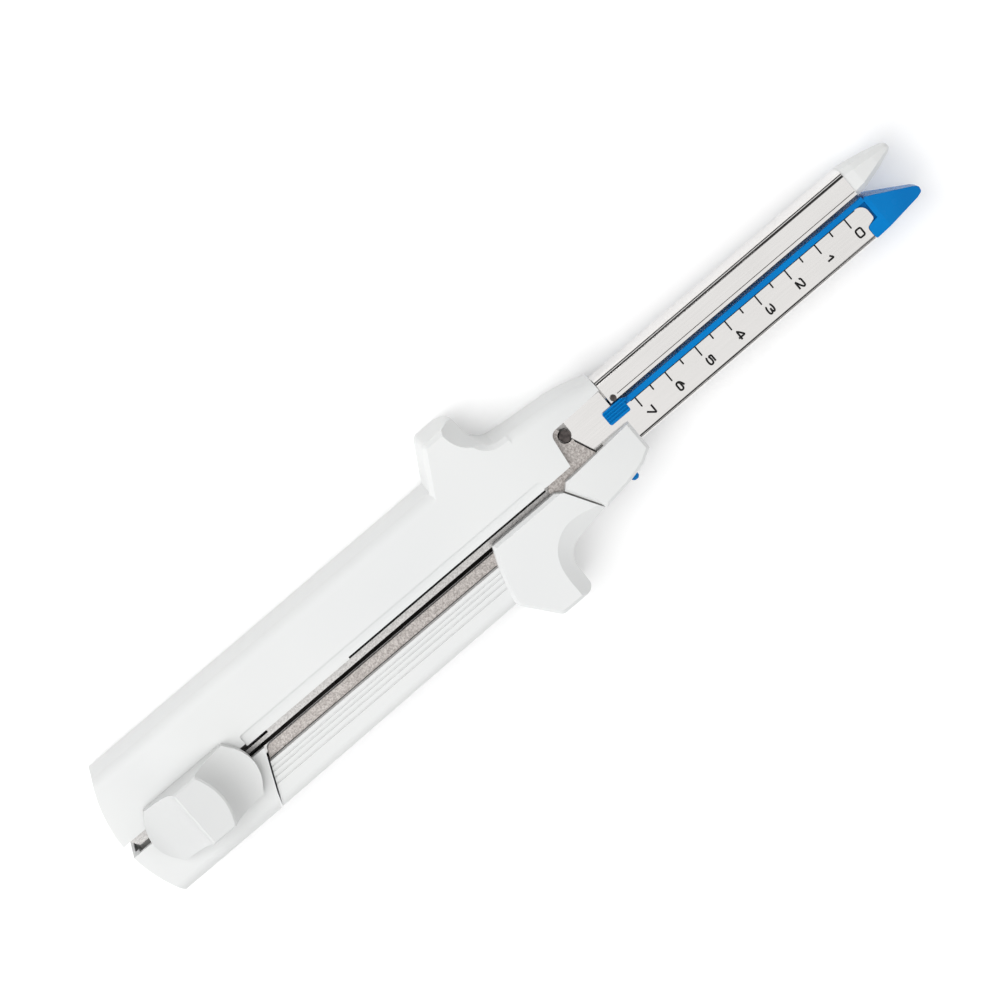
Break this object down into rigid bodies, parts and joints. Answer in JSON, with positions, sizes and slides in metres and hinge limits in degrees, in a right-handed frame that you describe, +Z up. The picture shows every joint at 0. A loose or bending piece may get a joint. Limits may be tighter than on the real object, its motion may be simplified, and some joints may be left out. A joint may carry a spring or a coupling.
{
  "type": "linear surgical stapler",
  "caption": "Hand-held linear cutting stapler with white handle shells, hinged steel jaws, blue staple cartridge, hooked locking lever, finger flares and a sliding firing knob.",
  "frame": {"origin": "middle of the base of the bounding box, with the far flat side of the handle on Z = 0", "axes": "+X along the instrument to the jaw tips, +Y across to the anvil half, +Z up to the firing knob side"},
  "size_m": [0.264, 0.0568, 0.0376],
  "materials": {
    "white_plastic": "satin moulded",
    "blue_plastic": "satin moulded",
    "polished_steel": "polished",
    "matte_steel": "matte grained",
    "dark_steel": "blackened",
    "staple_wire": "drawn wire",
    "driver_plastic": "moulded"
  },
  "bodies": {
    "cartridge_half": {"cartridge_channel": "polished_steel", "cartridge_body": "blue_plastic", "staples": "staple_wire", "staple_drivers": "driver_plastic", "lockout_spring": "polished_steel", "hinge_bracket": "matte_steel", "lever_pivot_pin": "polished_steel", "rear_hinge_pin": "polished_steel", "rear_shell": "white_plastic", "front_cover": "white_plastic", "blue_stud": "blue_plastic"},
    "anvil_half": {"anvil_jaw": "polished_steel", "anvil_plate": "polished_steel", "anvil_tip": "white_plastic", "anvil_frame": "matte_steel", "upper_shell": "white_plastic", "latch_pin": "dark_steel", "side_pins": "dark_steel"},
    "locking_lever": {"lever_channel": "matte_steel", "lever_grip": "white_plastic"},
    "firing_slide": {"firing_knob": "white_plastic", "knob_stem": "matte_steel", "knob_pin": "polished_steel", "slide_block": "dark_steel", "inner_wedge_bars": "polished_steel", "outer_wedge_bars": "polished_steel", "knife": "polished_steel", "bar_key": "polished_steel"}
  },
  "joints": [
    {"name": "lever_swing", "type": "hinge", "parent": "cartridge_half", "child": "locking_lever", "pos_m": [0.0204, -0.0115, 0.012], "axis": [0, 0, 1], "range_deg": [0, 75]},
    {"name": "jaw_hinge", "type": "hinge", "parent": "cartridge_half", "child": "anvil_half", "pos_m": [-0.1225, -0.006, 0.012], "axis": [0, 0, 1], "range_deg": [0, 6]},
    {"name": "firing_stroke", "type": "slide", "parent": "cartridge_half", "child": "firing_slide", "axis": [1, 0, 0], "range_m": [0, 0.085]}
  ],
  "couplings": [
    {"joint": "jaw_hinge", "follows": "lever_swing", "ratio": 0.08}
  ]
}
